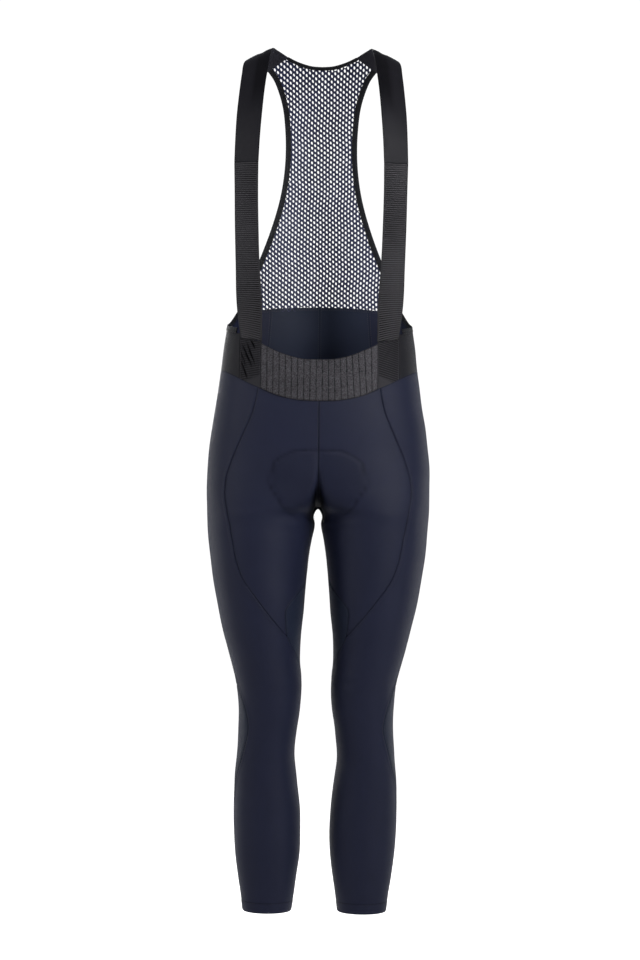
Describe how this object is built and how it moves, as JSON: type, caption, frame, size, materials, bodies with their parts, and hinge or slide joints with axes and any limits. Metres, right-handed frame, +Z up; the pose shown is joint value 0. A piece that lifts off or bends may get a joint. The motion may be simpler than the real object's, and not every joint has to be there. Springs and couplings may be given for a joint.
{
  "type": "bib knickers",
  "caption": "Three-quarter-length stretch bib knickers holding their worn form, with ribbed elastic straps and waistband and an open net back.",
  "frame": {"origin": "midway between the two shoulder straps, level with their tops, where the wearer's shoulders hold the garment up", "axes": "+Z up, the wearer faces -Y, and +X is the wearer's left"},
  "size_m": [0.3444, 0.2382, 1.3359],
  "materials": {
    "front_left": "warp-knit stretch cloth",
    "front_right": "warp-knit stretch cloth",
    "side_left": "warp-knit stretch cloth",
    "side_right": "warp-knit stretch cloth",
    "seat_left": "warp-knit stretch cloth",
    "seat_right": "warp-knit stretch cloth",
    "thigh_back_left": "warp-knit stretch cloth",
    "thigh_back_right": "warp-knit stretch cloth",
    "calf_left": "warp-knit stretch cloth",
    "calf_right": "warp-knit stretch cloth",
    "waist_rib_left": "cross-ribbed elastic",
    "waist_rib_right": "cross-ribbed elastic",
    "waist_side_left": "smooth stretch cloth",
    "waist_side_right": "smooth stretch cloth",
    "strap_lower_left": "cross-ribbed elastic",
    "strap_lower_right": "cross-ribbed elastic",
    "strap_upper_left": "smooth elastic",
    "strap_upper_right": "smooth elastic",
    "binding_armhole_left": "folded elastic tape",
    "binding_armhole_right": "folded elastic tape",
    "waist_front": "wide-ribbed elastic",
    "binding_neck": "folded elastic tape",
    "net_back": "open knitted net"
  },
  "bodies": {
    "root": {"front_left": "front_left", "front_right": "front_right", "side_left": "side_left", "side_right": "side_right", "seat_left": "seat_left", "seat_right": "seat_right", "thigh_back_left": "thigh_back_left", "thigh_back_right": "thigh_back_right", "calf_left": "calf_left", "calf_right": "calf_right", "waist_rib_left": "waist_rib_left", "waist_rib_right": "waist_rib_right", "waist_side_left": "waist_side_left", "waist_side_right": "waist_side_right", "strap_lower_left": "strap_lower_left", "strap_lower_right": "strap_lower_right", "strap_upper_left": "strap_upper_left", "strap_upper_right": "strap_upper_right", "binding_armhole_left": "binding_armhole_left", "binding_armhole_right": "binding_armhole_right", "waist_front": "waist_front", "binding_neck": "binding_neck", "net_back": "net_back"}
  },
  "joints": []
}
